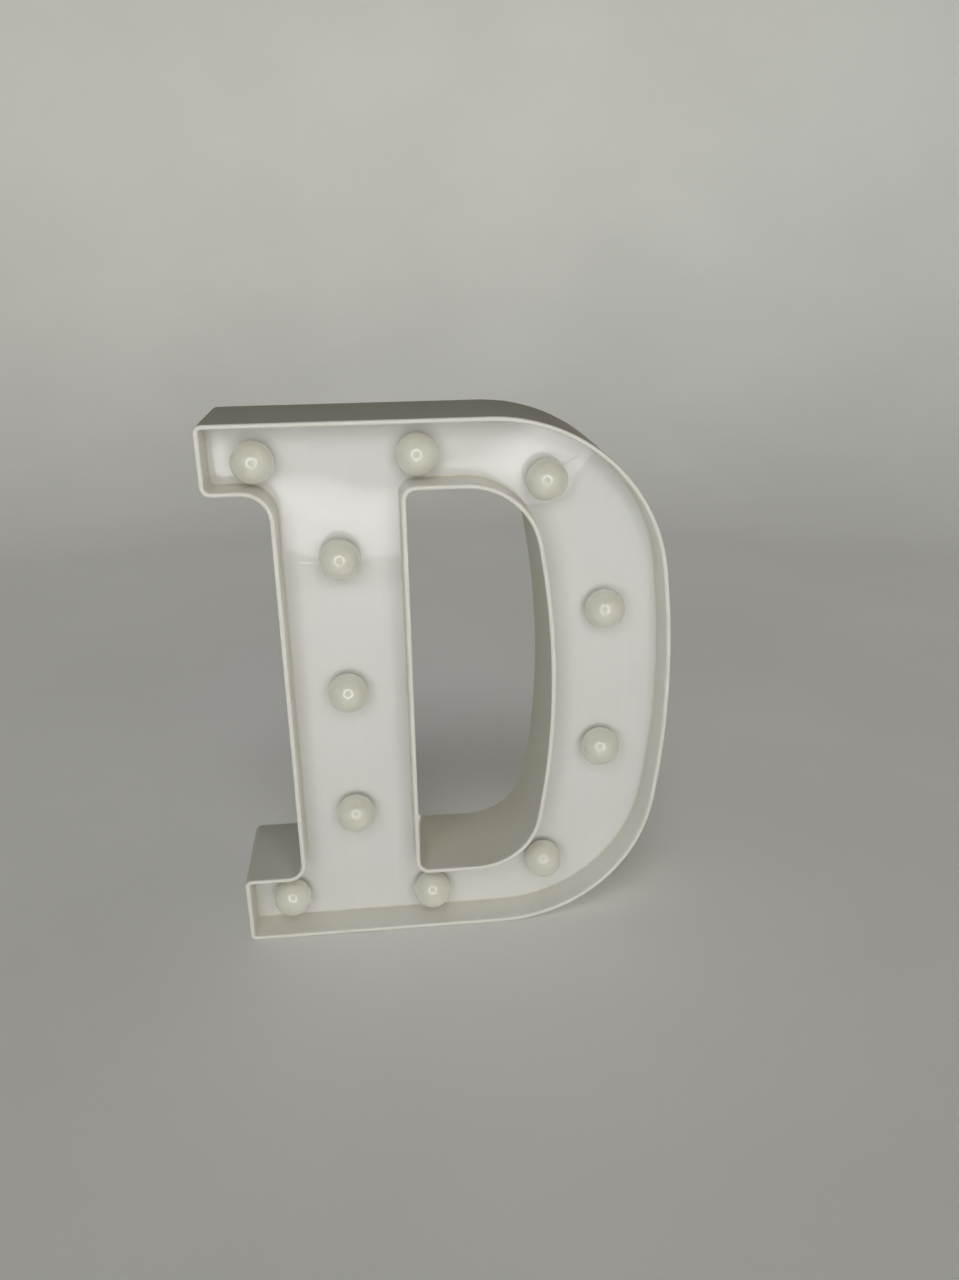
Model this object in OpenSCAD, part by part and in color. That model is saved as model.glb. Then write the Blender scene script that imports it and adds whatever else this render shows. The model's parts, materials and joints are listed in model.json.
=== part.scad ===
// Light-up letter D: open-fronted slab-serif tray with ball bulbs on a recessed plate,
// closed at the back by a screwed cover with a battery well, a hinged door and a slide switch.
// Millimetres. X across the letter, Y from front to back, Z up; origin under the middle of the base.

/* [Letter outline] */
// overall height
letter_h = 220; // [200:1:260]
// overall width
letter_w = 178; // [170:1:200]
// depth from front rim to back
letter_d = 45; // [44:0.5:60]
// height of the top arm and of the top serif
arm_h = 26.2; // [22:0.1:32]
// height of the foot
foot_h = 30; // [24:0.5:34]
// left side of the stem
stem_l = 24; // [20:0.5:28]
// right side of the stem
stem_r = 74; // [70:0.5:80]
// radius of the upper bowl corner
bowl_rt = 70; // [60:1:75]
// radius of the lower bowl corner
bowl_rb = 66; // [60:1:75]
// radius of the bowl's right side
bowl_rs = 360; // [250:5:500]
// bottom of the counter
ctr_b = 29.5; // [26:0.5:34]
// right side of the counter
ctr_w = 129.5; // [126:0.5:134]
// radius of the counter's upper right corner
ctr_rt = 28; // [20:1:32]
// radius of the counter's lower right corner
ctr_rb = 26; // [20:1:32]
// radius of the counter's right side
ctr_rs = 330; // [250:5:500]

/* [Walls and plate] */
// wall thickness
wall_t = 1.8; // [1.4:0.1:2.4]
// depth of the face plate behind the front rim
plate_y = 15; // [12:0.5:16]
// thickness of the face plate
plate_t = 2; // [1.5:0.1:2.5]
// thickness of the back cover
cover_t = 2; // [1.6:0.1:2.5]
// gap between the back cover and the wall
cover_gap = 0.2; // [0.1:0.05:0.5]

/* [Bulbs] */
// radius of the ball
bulb_r = 8; // [6:0.1:9]
// depth of the ball's centre behind the front rim
bulb_y = 9; // [8:0.1:10]
// wall of the cap
bulb_t = 1.2; // [0.8:0.1:2]
// radius of the neck
neck_r = 4.1; // [3.5:0.1:4.5]

/* [Battery well and door] */
// middle of the well across the letter
well_x = 49; // [47:0.5:51]
// lower inside end of the well
well_z0 = 59; // [56:0.5:62]
// inside length of the well
well_len = 58; // [57:0.5:60]
// inside half width of the well
well_hw = 15.4; // [15:0.1:16]
// radius of a cell
cell_r = 7.25; // [7:0.05:7.25]
// radius of the door's hinge pins
pin_r = 0.65; // [0.5:0.05:0.7]

/* [Switch] */
// height of the switch
sw_z = 131; // [129:0.5:134]
// travel of the slider
sw_travel = 4; // [3:0.1:4]

/* [Wall hanging] */
// radius of the keyhole's round end
key_r = 4; // [3.5:0.1:4.5]
// half width of the keyhole's slot
key_s = 2.1; // [1.5:0.1:2.2]

/* [Hidden] */
$fn = 48;
e = 0.01;
// corner radii of the serifs and of the fillets where they meet the stem
foot_r = 2.6; cap_r = 3; serif_r = 4; toe_r = 3; fil_t = 10; fil_b = 6; ctr_r = 4;
// bowl arcs: centres and the angles where they run into each other
bowl_m = letter_h / 2;
bowl_cx = letter_w - bowl_rs;
bowl_xt = bowl_cx + sqrt(pow(bowl_rs - bowl_rt, 2) - pow(letter_h - bowl_rt - bowl_m, 2));
bowl_xb = bowl_cx + sqrt(pow(bowl_rs - bowl_rb, 2) - pow(bowl_m - bowl_rb, 2));
bowl_at = atan2(letter_h - bowl_rt - bowl_m, bowl_xt - bowl_cx);
bowl_ab = atan2(bowl_rb - bowl_m, bowl_xb - bowl_cx);
// counter arcs
ctr_t = letter_h - arm_h;
ctr_m = (ctr_t + ctr_b) / 2 - 2;
ctr_cx = ctr_w - ctr_rs;
ctr_xt = ctr_cx + sqrt(pow(ctr_rs - ctr_rt, 2) - pow(ctr_t - ctr_rt - ctr_m, 2));
ctr_xb = ctr_cx + sqrt(pow(ctr_rs - ctr_rb, 2) - pow(ctr_m - ctr_b - ctr_rb, 2));
ctr_at = atan2(ctr_t - ctr_rt - ctr_m, ctr_xt - ctr_cx);
ctr_ab = atan2(ctr_b + ctr_rb - ctr_m, ctr_xb - ctr_cx);
// depths
plate_b = plate_y + plate_t;
cover_y = letter_d - cover_t;
neck_y = plate_b + 2.6;
// bulbs: across, up, heading of the wires there
B_TL = [18.6, 204.5, 90];
B_TM = [78.9, 205.6, 0];
B_TR = [128.1, 194.2, -42];
B_R1 = [152.1, 141, -90];
B_R2 = [152.1, 79.4, -90];
B_BR = [128.2, 25.6, -138];
B_BM = [79.1, 13.6, 180];
B_BL = [18.4, 14.6, 90];
B_S3 = [48, 54.4, 90];
B_S2 = [48, 110.2, 90];
B_S1 = [48, 166, 90];
BULBS = [B_TL, B_TM, B_TR, B_R1, B_R2, B_BR, B_BM, B_BL, B_S3, B_S2, B_S1];
// screw posts behind the plate
POSTS = [[48, 207], [48, 15], [106, 207], [106, 15], [154, 110], [30.5, 140], [67.5, 140]];
// well, door and hinge
well_z1 = well_z0 + well_len;
well_y = 27.4;
hinge_z = well_z1;
hinge_y = cover_y + 0.9;
door_hw = well_hw + 1.3;
door_z0 = well_z0 - 1.5;
open_hw = door_hw + 0.25;
open_z0 = door_z0 - 0.3;
open_z1 = well_z1 + 1.7;
ledge_y = cover_y - 0.5;
// cells and contacts
cell_y = well_y + 0.25 + cell_r;
cell_xl = well_x - 7.6;
cell_xr = well_x + 7.6;
tab_t = 0.4;
spring_l = 5;
cell_zl = well_z0 + tab_t + spring_l;
cell_zr = well_z0 + tab_t + 1.8;
// switch depths
sw_x = well_x;
sw_y = cover_y - 2;
sw_off = -sw_travel / 2;
// wires
wire_r = 0.55;
pos_y = 22;
neg_y = 24;
key_x = 88;
key_z = 203.5;

// outline of the letter, moved inwards by d
function arc(cx, cy, r, a0, a1, n, i0 = 0) =
  [for (i = [i0:n]) let (a = a0 + (a1 - a0) * i / n) [cx + r * cos(a), cy + r * sin(a)]];
function outer_pts(d) = concat(
  arc(foot_r, foot_r, foot_r - d, 180, 270, 6),
  arc(bowl_xb, bowl_rb, bowl_rb - d, -90, bowl_ab, 26),
  arc(bowl_cx, bowl_m, bowl_rs - d, bowl_ab, bowl_at, 16, 1),
  arc(bowl_xt, letter_h - bowl_rt, bowl_rt - d, bowl_at, 90, 28, 1),
  arc(cap_r, letter_h - cap_r, cap_r - d, 90, 180, 6),
  arc(serif_r, ctr_t + serif_r, serif_r - d, 180, 270, 6),
  arc(stem_l - fil_t, ctr_t - fil_t, fil_t + d, 90, 0, 10),
  arc(stem_l - fil_b, foot_h + fil_b, fil_b + d, 0, -90, 8),
  arc(toe_r, foot_h - toe_r, toe_r - d, 90, 180, 6));
// outline of the counter, made larger by d
function counter_pts(d) = concat(
  arc(stem_r + ctr_r, ctr_b + ctr_r, ctr_r + d, 180, 270, 6),
  arc(ctr_xb, ctr_b + ctr_rb, ctr_rb + d, -90, ctr_ab, 20),
  arc(ctr_cx, ctr_m, ctr_rs + d, ctr_ab, ctr_at, 18, 1),
  arc(ctr_xt, ctr_t - ctr_rt, ctr_rt + d, ctr_at, 90, 20, 1),
  arc(stem_r + ctr_r, ctr_t - ctr_r, ctr_r + d, 90, 180, 6));
module band(d) difference() { polygon(outer_pts(d)); polygon(counter_pts(d)); }

// helpers in letter coordinates: x from the left edge, y from the front rim, z up
module at() translate([-letter_w / 2, -letter_d / 2, 0]) children();
module slab(y0, y1) rotate([90, 0, 0]) translate([0, 0, -y1]) linear_extrude(y1 - y0) children();
module ycyl(x, z, y0, y1, r) translate([x, y0, z]) rotate([-90, 0, 0]) cylinder(h = y1 - y0, r = r);
module xcyl(y, z, x0, x1, r) translate([x0, y, z]) rotate([0, 90, 0]) cylinder(h = x1 - x0, r = r);
module block(x0, x1, y0, y1, z0, z1) translate([x0, y0, z0]) cube([x1 - x0, y1 - y0, z1 - z0]);

// wires: a smooth path through points and a round tube along it
function unit(v) = v / norm(v);
function mid(a, b, c, d, t) = 0.5 * (2 * b + (c - a) * t + (2 * a - 5 * b + 4 * c - d) * t * t + (3 * b - a - 3 * c + d) * t * t * t);
function smooth(p, n) = concat([for (i = [0:len(p) - 2], j = [0:n - 1])
  mid(p[max(i - 1, 0)], p[i], p[i + 1], p[min(i + 2, len(p) - 1)], j / n)], [p[len(p) - 1]]);
module tube(p, r, s, up) {
  m = len(p);
  pts = [for (i = [0:m - 1]) let (t = unit(p[min(i + 1, m - 1)] - p[max(i - 1, 0)]), a = unit(cross(t, up)), b = cross(a, t))
    for (k = [0:s - 1]) p[i] + r * cos(360 * k / s) * a + r * sin(360 * k / s) * b];
  polyhedron(pts, concat(
    [for (k = [1:s - 2]) [0, k + 1, k]],
    [for (i = [0:m - 2], k = [0:s - 1]) [i * s + k, i * s + (k + 1) % s, (i + 1) * s + k]],
    [for (i = [0:m - 2], k = [0:s - 1]) [i * s + (k + 1) % s, (i + 1) * s + (k + 1) % s, (i + 1) * s + k]],
    [for (k = [1:s - 2]) [(m - 1) * s, (m - 1) * s + k, (m - 1) * s + k + 1]]), convexity = 6);
}
// a wire's point at a bulb: o to the left of its heading
function tap(b, o, y) = [b[0] + o * cos(b[2] + 90), y, b[1] + o * sin(b[2] + 90)];
function run(o, y) = [tap(B_S1, o, y), [45, y, 186], [36, y, 197], [25.5, y, 198.5], tap(B_TL, o, y), [25.5, y, 211.5], [42, y, 213.8],
  [62, y, 211], tap(B_TM, o, y), [93, y, 202.5], [108, y, 200.5], tap(B_TR, o, y), [145, y, 172], tap(B_R1, o, y), [146.5, y, 122],
  [146.5, y, 98], tap(B_R2, o, y), [145.5, y, 48], tap(B_BR, o, y), [108, y, 22], [94, y, 19], tap(B_BM, o, y), [62, y, 8.5], [44, y, 6.5],
  [26, y, 7.5], tap(B_BL, o, y), [25, y, 21.5], [38, y, 26], [46, y, 38], tap(B_S3, o, y), [48, y, 82], tap(B_S2, o, y)];

module letter_shell() color([0.93, 0.92, 0.88]) at() difference() {
  union() {
    difference() {
      slab(0, letter_d) band(0);
      slab(-1, plate_y) band(wall_t);
      slab(plate_b, letter_d + 1) band(wall_t);
    }
    for (p = POSTS) ycyl(p[0], p[1], plate_b - 1, cover_y, 3);
  }
  for (b = BULBS) ycyl(b[0], b[1], plate_y - 1, plate_b + 1, neck_r + 0.1);
  for (p = POSTS) ycyl(p[0], p[1], cover_y - 11, cover_y + 1, 1.15);
}

module back_cover() color([0.9, 0.89, 0.85]) at() difference() {
  union() {
    slab(cover_y, letter_d) band(wall_t + cover_gap);
    // battery well and the ledge round its mouth
    block(well_x - open_hw - 1.65, well_x + open_hw + 1.65, ledge_y - 2.1, cover_y + 0.5, open_z0 - 1.4, open_z1 + 1.5);
    block(well_x - well_hw - 1.6, well_x + well_hw + 1.6, well_y - 1.2, cover_y - 1, well_z0 - 1.6, well_z1 + 1.6);
    // switch pocket and the bosses for its screws
    block(sw_x - 8, sw_x + 8, sw_y, cover_y + 0.5, sw_z - 6, sw_z + 6);
    for (s = [-1, 1]) ycyl(sw_x + 10 * s, sw_z, sw_y, cover_y + 0.5, 2.2);
  }
  // door opening, with pads left standing for the door to rest on
  difference() {
    block(well_x - open_hw, well_x + open_hw, ledge_y, letter_d + 1, open_z0, open_z1);
    for (s = [-1, 1], z = [66, 96]) block(well_x + s * (well_hw + 0.9) - 0.9, well_x + s * (well_hw + 0.9) + 0.9, ledge_y - 1, cover_y - 0.05, z, z + 8);
  }
  block(well_x - well_hw, well_x + well_hw, well_y, letter_d + 1, well_z0, well_z1);
  // hinge holes and finger notch
  xcyl(hinge_y, hinge_z, well_x - door_hw - 1.6, well_x + door_hw + 1.6, pin_r + 0.05);
  block(well_x - 7, well_x + 7, letter_d - 1.2, letter_d + 1, open_z0 - 4.7, open_z0 + 1);
  // slots for the contact tags
  for (x = [cell_xl, cell_xr]) block(x - 1.9, x + 1.9, well_y - 2, well_y + 0.1, well_z1 - 0.8, well_z1 + 0.2);
  // switch pocket, slider slot, screw holes
  block(sw_x - 6.5, sw_x + 6.5, sw_y + 1.5, letter_d + 1, sw_z - 4.5, sw_z + 4.5);
  block(sw_x - 4.3, sw_x + 4.3, sw_y - 1, sw_y + 2, sw_z - 1.9, sw_z + 1.9);
  for (s = [-1, 1]) ycyl(sw_x + 10 * s, sw_z, sw_y - 1, cover_y + 0.8, 0.75);
  // off ring and on bar beside the pocket
  difference() {
    ycyl(sw_x - 11.5, sw_z, letter_d - 0.3, letter_d + 1, 1.7);
    ycyl(sw_x - 11.5, sw_z, letter_d - 1, letter_d + 2, 1.1);
  }
  block(sw_x + 11.2, sw_x + 11.8, letter_d - 0.3, letter_d + 1, sw_z - 1.7, sw_z + 1.7);
  // cover screws in counterbores
  for (p = POSTS) {
    ycyl(p[0], p[1], cover_y - 1, letter_d + 1, 1.4);
    ycyl(p[0], p[1], letter_d - 1.3, letter_d + 1, 2.6);
  }
  // keyhole
  ycyl(key_x, key_z, cover_y - 1, letter_d + 1, key_r);
  ycyl(key_x, key_z + 7.5, cover_y - 1, letter_d + 1, key_s);
  block(key_x - key_s, key_x + key_s, cover_y - 1, letter_d + 1, key_z, key_z + 7.5);
}

module battery_door() color([0.9, 0.89, 0.85]) at() difference() {
  union() {
    block(well_x - door_hw, well_x + door_hw, cover_y, letter_d, door_z0, hinge_z);
    xcyl(hinge_y, hinge_z, well_x - door_hw, well_x + door_hw, 1);
    xcyl(hinge_y, hinge_z, well_x - door_hw - 1.3, well_x + door_hw + 1.3, pin_r);
    // stiffening ribs between the cells
    block(well_x - 0.6, well_x + 0.6, cover_y - 1.4, cover_y + 0.5, well_z0 + 12, well_z1 - 12);
  }
  // tongue between two slots, with grip grooves
  for (s = [-1, 1]) block(well_x + 6.4 * s - 0.4, well_x + 6.4 * s + 0.4, cover_y - 1, letter_d + 1, door_z0 - 1, door_z0 + 9);
  for (i = [0:3]) block(well_x - 4.5, well_x + 4.5, letter_d - 0.4, letter_d + 1, door_z0 + 1.4 + 1.8 * i, door_z0 + 2.3 + 1.8 * i);
}

module cover_screws() color([0.6, 0.6, 0.62]) at() for (p = POSTS) difference() {
  union() {
    ycyl(p[0], p[1], letter_d - 1.3, letter_d - 0.15, 2.3);
    ycyl(p[0], p[1], cover_y - 9, letter_d - 1, 1.1);
  }
  block(p[0] - 1.4, p[0] + 1.4, letter_d - 0.75, letter_d + 1, p[1] - 0.3, p[1] + 0.3);
  block(p[0] - 0.3, p[0] + 0.3, letter_d - 0.75, letter_d + 1, p[1] - 1.4, p[1] + 1.4);
}

module bulb_cap(b) color([0.93, 0.9, 0.74]) at() translate([b[0], 0, b[1]]) difference() {
  union() {
    difference() {
      translate([0, bulb_y, 0]) rotate([-90, 0, 0]) sphere(r = bulb_r);
      block(-20, 20, plate_y, 40, -20, 20);
    }
    ycyl(0, 0, plate_y - 1, neck_y, neck_r);
    // snap bead behind the plate
    rotate([-90, 0, 0]) rotate_extrude() polygon([[neck_r - 1, plate_b + 0.1], [neck_r, plate_b + 0.1],
      [neck_r + 0.45, plate_b + 0.4], [neck_r + 0.45, plate_b + 1.2], [neck_r, plate_b + 1.9], [neck_r - 1, plate_b + 1.9]]);
  }
  translate([0, bulb_y, 0]) rotate([-90, 0, 0]) sphere(r = bulb_r - bulb_t);
  ycyl(0, 0, bulb_y, neck_y + 1, 2.6);
}
module bulb_cap_top_left() bulb_cap(B_TL);
module bulb_cap_top_middle() bulb_cap(B_TM);
module bulb_cap_bowl_top() bulb_cap(B_TR);
module bulb_cap_bowl_upper() bulb_cap(B_R1);
module bulb_cap_bowl_lower() bulb_cap(B_R2);
module bulb_cap_bowl_bottom() bulb_cap(B_BR);
module bulb_cap_bottom_middle() bulb_cap(B_BM);
module bulb_cap_bottom_left() bulb_cap(B_BL);
module bulb_cap_stem_lower() bulb_cap(B_S3);
module bulb_cap_stem_middle() bulb_cap(B_S2);
module bulb_cap_stem_upper() bulb_cap(B_S1);

module led(b) color([0.85, 0.88, 0.9]) at() translate([b[0], 0, b[1]]) {
  rotate([-90, 0, 0]) rotate_extrude() polygon(concat(
    [[0, neck_y + 1], [0, neck_y - 9.6]],
    [for (a = [15:15:90]) [2.5 * sin(a), neck_y - 7.1 - 2.5 * cos(a)]],
    [[2.5, neck_y], [2.95, neck_y], [2.95, neck_y + 1]]));
  // leads down to the two wires
  rotate([0, -b[2] - 90, 0]) {
    block(1.02, 1.52, neck_y + 0.8, pos_y - wire_r - 0.05, -0.25, 0.25);
    block(-1.52, -1.02, neck_y + 0.8, neg_y - wire_r - 0.05, -0.25, 0.25);
  }
}
module led_top_left() led(B_TL);
module led_top_middle() led(B_TM);
module led_bowl_top() led(B_TR);
module led_bowl_upper() led(B_R1);
module led_bowl_lower() led(B_R2);
module led_bowl_bottom() led(B_BR);
module led_bottom_middle() led(B_BM);
module led_bottom_left() led(B_BL);
module led_stem_lower() led(B_S3);
module led_stem_middle() led(B_S2);
module led_stem_upper() led(B_S1);

module wire_positive() color([0.7, 0.1, 0.08]) at()
  tube(smooth(concat([[58, 27, 154.6], [56, 25, 158], [50, pos_y, 161]], run(1.27, pos_y)), 4), wire_r, 8, [0, 1, 0]);
module wire_negative() color([0.08, 0.08, 0.09]) at()
  tube(smooth(concat(run(-1.27, neg_y), [[51, neg_y, 116], [cell_xr, neg_y, 116.8], [60, neg_y, 116.8]]), 4), wire_r, 8, [0, 1, 0]);
module wire_battery() color([0.7, 0.1, 0.08]) at()
  tube(smooth([[cell_xl - 3, neg_y, 116.8], [cell_xl, neg_y, 116.8], [48, 24.6, 121], [55, 26.5, 126], [55.5, 28.5, 129], [53, 31.1, 131]], 5), wire_r, 8, [0, 1, 0]);
module wire_switch() color([0.7, 0.1, 0.08]) at()
  tube(smooth([[sw_x, 31.1, sw_z], [50, 29.5, 134.5], [55, 27.5, 138], [58, 27, 141.4]], 5), wire_r, 8, [0, 1, 0]);
module series_resistor() color([0.75, 0.65, 0.48]) at() translate([58, 27, 0]) {
  translate([0, 0, 144.6]) cylinder(h = 6.8, r = 1.1);
  translate([0, 0, 144.5]) cylinder(h = 1.6, r = 1.35);
  translate([0, 0, 149.9]) cylinder(h = 1.6, r = 1.35);
  translate([0, 0, 141.5]) cylinder(h = 13, r = 0.3);
}

module cell(x, z, s) color([0.25, 0.3, 0.36]) at() translate([x, cell_y, z]) rotate([s > 0 ? 0 : 180, 0, 0]) translate([0, 0, s > 0 ? 0 : -50.4]) {
  cylinder(h = 49.2, r = cell_r);
  translate([0, 0, 49]) cylinder(h = 1.4, r = 2.75);
}
module cell_left() cell(cell_xl, cell_zl, 1);
module cell_right() cell(cell_xr, cell_zr, -1);

module contact_positive() color([0.78, 0.78, 0.76]) at() {
  block(cell_xl - 6, cell_xl + 6, well_y + 1.6, well_y + 13.4, well_z1 - tab_t, well_z1);
  block(cell_xl - 1.5, cell_xl + 1.5, neg_y + wire_r + 0.05, well_y + 2, well_z1 - tab_t, well_z1);
  translate([cell_xl, cell_y, cell_zl + 50.45]) cylinder(h = well_z1 - tab_t / 2 - cell_zl - 50.45, r = 2.6);
}
module contact_negative() color([0.78, 0.78, 0.76]) at() {
  block(cell_xr - 6, cell_xr + 6, well_y + 1.6, well_y + 13.4, well_z1 - tab_t, well_z1);
  block(cell_xr - 1.5, cell_xr + 1.5, neg_y + wire_r + 0.05, well_y + 2, well_z1 - tab_t, well_z1);
}
module contact_bridge() color([0.78, 0.78, 0.76]) at() {
  block(cell_xl - 6, cell_xr + 6, well_y + 1.6, well_y + 13.4, well_z0, well_z0 + tab_t);
  translate([cell_xr, cell_y, well_z0 + tab_t / 2]) cylinder(h = 1.75 + tab_t / 2, r = 2.6);
}
module coil(x, z0, z1) color([0.78, 0.78, 0.76]) at()
  tube([for (i = [0:56]) let (t = i / 56) [x + (5 - 1.8 * t) * cos(1440 * t), cell_y + (5 - 1.8 * t) * sin(1440 * t),
    z0 + (z1 - z0) * t]], 0.4, 6, [0, 0, 1]);
module spring_bridge() coil(cell_xl, well_z0 + tab_t + 0.45, cell_zl - 0.45);
module spring_negative() coil(cell_xr, well_z1 - tab_t - 0.45, cell_zr + 50.4 + 0.45);

module switch_frame() color([0.7, 0.7, 0.7]) at() translate([sw_x, sw_y, sw_z]) difference() {
  union() {
    block(-12.2, 12.2, -0.5, 0, -3.1, 3.1);
    block(-7, 7, -4.4, -0.25, -3.1, 3.1);
  }
  block(-6.5, 6.5, -5, -0.5, -2.6, 2.6);
  block(-4.1, 4.1, -1, 1, -1.7, 1.7);
  for (s = [-1, 1]) ycyl(10 * s, 0, -1, 1, 1.05);
}
module switch_base() color([0.45, 0.3, 0.16]) at() translate([sw_x, sw_y, sw_z]) difference() {
  block(-6.9, 6.9, -5.6, -4.45, -3, 3);
  for (s = [-4, 0, 4]) block(s - 0.75, s + 0.75, -6, -4, -0.25, 0.25);
}
module switch_terminals() color([0.8, 0.68, 0.35]) at() translate([sw_x, sw_y, sw_z]) for (s = [-4, 0, 4]) {
  block(s - 0.7, s + 0.7, -9.2, -4.2, -0.2, 0.2);
  block(s - 0.9, s + 0.9, -4.45, -4.1, -1.2, 1.2);
}
module switch_slider() color([0.09, 0.09, 0.1]) at() translate([sw_x + sw_off, sw_y, sw_z]) difference() {
  union() {
    block(-3.4, 3.4, -3, -0.8, -2.4, 2.4);
    block(-1.9, 1.9, -1, 3.7, -1.5, 1.5);
  }
  for (s = [-1, 0, 1]) block(s - 0.2, s + 0.2, 3.3, 4, -2, 2);
}
module switch_wiper() color([0.8, 0.68, 0.35]) at() translate([sw_x + sw_off, sw_y, sw_z]) {
  block(-2.6, 2.6, -3.9, -3.5, -0.9, 0.9);
  block(-1, 1, -3.6, -3, -0.6, 0.6);
}
module switch_screws() color([0.6, 0.6, 0.62]) at() for (s = [-1, 1]) difference() {
  union() {
    ycyl(sw_x + 10 * s, sw_z, sw_y - 1.7, sw_y - 0.5, 1.8);
    ycyl(sw_x + 10 * s, sw_z, sw_y - 0.8, sw_y + 2.4, 0.7);
  }
  block(sw_x + 10 * s - 1.1, sw_x + 10 * s + 1.1, sw_y - 2, sw_y - 1.2, sw_z - 0.25, sw_z + 0.25);
  block(sw_x + 10 * s - 0.25, sw_x + 10 * s + 0.25, sw_y - 2, sw_y - 1.2, sw_z - 1.1, sw_z + 1.1);
}

letter_shell();
back_cover();
battery_door();
cover_screws();
bulb_cap_top_left();
bulb_cap_top_middle();
bulb_cap_bowl_top();
bulb_cap_bowl_upper();
bulb_cap_bowl_lower();
bulb_cap_bowl_bottom();
bulb_cap_bottom_middle();
bulb_cap_bottom_left();
bulb_cap_stem_lower();
bulb_cap_stem_middle();
bulb_cap_stem_upper();
led_top_left();
led_top_middle();
led_bowl_top();
led_bowl_upper();
led_bowl_lower();
led_bowl_bottom();
led_bottom_middle();
led_bottom_left();
led_stem_lower();
led_stem_middle();
led_stem_upper();
wire_positive();
wire_negative();
wire_battery();
wire_switch();
series_resistor();
cell_left();
cell_right();
contact_positive();
contact_negative();
contact_bridge();
spring_bridge();
spring_negative();
switch_frame();
switch_base();
switch_terminals();
switch_slider();
switch_wiper();
switch_screws();
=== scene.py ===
import json
import math

import bmesh
import bpy
from mathutils import Matrix, Vector
from mathutils.geometry import delaunay_2d_cdt

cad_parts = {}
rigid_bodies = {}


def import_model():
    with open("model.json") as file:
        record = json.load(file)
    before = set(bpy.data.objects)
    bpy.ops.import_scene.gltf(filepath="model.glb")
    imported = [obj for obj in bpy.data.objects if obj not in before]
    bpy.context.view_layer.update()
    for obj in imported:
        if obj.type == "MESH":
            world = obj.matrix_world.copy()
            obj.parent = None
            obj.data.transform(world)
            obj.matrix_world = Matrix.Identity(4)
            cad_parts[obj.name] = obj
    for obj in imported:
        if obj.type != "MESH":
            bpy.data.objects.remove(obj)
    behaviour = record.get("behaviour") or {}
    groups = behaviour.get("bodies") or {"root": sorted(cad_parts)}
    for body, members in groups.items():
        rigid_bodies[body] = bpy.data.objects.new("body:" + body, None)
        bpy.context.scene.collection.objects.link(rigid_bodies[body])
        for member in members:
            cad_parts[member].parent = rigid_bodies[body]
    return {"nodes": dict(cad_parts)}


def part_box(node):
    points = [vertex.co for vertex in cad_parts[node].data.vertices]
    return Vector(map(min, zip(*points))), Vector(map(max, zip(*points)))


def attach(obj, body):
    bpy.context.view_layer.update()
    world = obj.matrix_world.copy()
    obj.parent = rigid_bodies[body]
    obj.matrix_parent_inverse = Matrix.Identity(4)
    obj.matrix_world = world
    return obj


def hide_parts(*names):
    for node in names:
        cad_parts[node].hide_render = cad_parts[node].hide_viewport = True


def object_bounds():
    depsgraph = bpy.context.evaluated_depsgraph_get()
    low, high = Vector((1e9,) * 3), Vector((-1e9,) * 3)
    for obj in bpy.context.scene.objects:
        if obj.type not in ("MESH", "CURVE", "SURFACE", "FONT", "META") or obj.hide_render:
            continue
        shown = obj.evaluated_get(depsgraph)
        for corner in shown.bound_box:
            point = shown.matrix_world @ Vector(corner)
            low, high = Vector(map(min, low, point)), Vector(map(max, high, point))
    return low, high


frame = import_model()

cad_low, cad_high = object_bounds()
nodes = frame["nodes"]
scene = bpy.context.scene
scene.view_settings.view_transform = "Standard"

# ---------------------------------------------------------------- camera
# Measured camera: place, heading and focal length (frame 959 x 1280, long side on the 36 mm sensor).
CAM_AT = Vector((-0.0240, -0.3856, 0.2768))
CAM_FORWARD = Vector((0.0907, 0.9267, -0.3648)).normalized()
CAM_RIGHT = Vector((0.9946, -0.1026, -0.0133)).normalized()
CAM_UP = CAM_RIGHT.cross(CAM_FORWARD).normalized()

cam = bpy.data.cameras.new("camera")
cam.lens = 28.187
cam.sensor_width = 36.0
cam.clip_start = 0.01
cam.clip_end = 50.0
cam_obj = bpy.data.objects.new("camera", cam)
scene.collection.objects.link(cam_obj)


def facing(right, up, back, at):
    """Matrix with these local axes."""
    m = Matrix((right, up, back)).transposed().to_4x4()
    m.translation = at
    return m


cam_obj.matrix_world = facing(CAM_RIGHT, CAM_UP, -CAM_FORWARD, CAM_AT)
scene.camera = cam_obj

# ---------------------------------------------------------------- sizes, in millimetres of the letter:
# u from the left edge, w from the front rim backwards, v up
LETTER_W, LETTER_D, LETTER_H = 178.0, 45.0, 220.0
WALL = 1.8
PLATE_F, PLATE_B = 15.0, 17.0
COVER = 43.0


def P(u, w, v):
    return Vector(((u - LETTER_W / 2) * 0.001, (w - LETTER_D / 2) * 0.001, v * 0.001))


BULBS = {
    "top_left": (18.6, 204.5), "top_middle": (78.9, 205.6), "bowl_top": (128.1, 194.2),
    "bowl_upper": (152.1, 141.0), "bowl_lower": (152.1, 79.4), "bowl_bottom": (128.2, 25.6),
    "bottom_middle": (79.1, 13.6), "bottom_left": (18.4, 14.6), "stem_lower": (48.0, 54.4),
    "stem_middle": (48.0, 110.2), "stem_upper": (48.0, 166.0),
}
POSTS = [(48, 207), (48, 15), (106, 207), (106, 15), (154, 110), (30.5, 140), (67.5, 140)]


# ---------------------------------------------------------------- outlines: points with the normal that leaves the material
def arc(cx, cy, r, a0, a1, sign, step=1.3):
    n = max(6, math.ceil(abs(math.radians(a1 - a0)) * r / step))
    out = []
    for i in range(n + 1):
        a = math.radians(a0 + (a1 - a0) * i / n)
        c, s = math.cos(a), math.sin(a)
        out.append((cx + r * c, cy + r * s, sign * c, sign * s))
    return out


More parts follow.
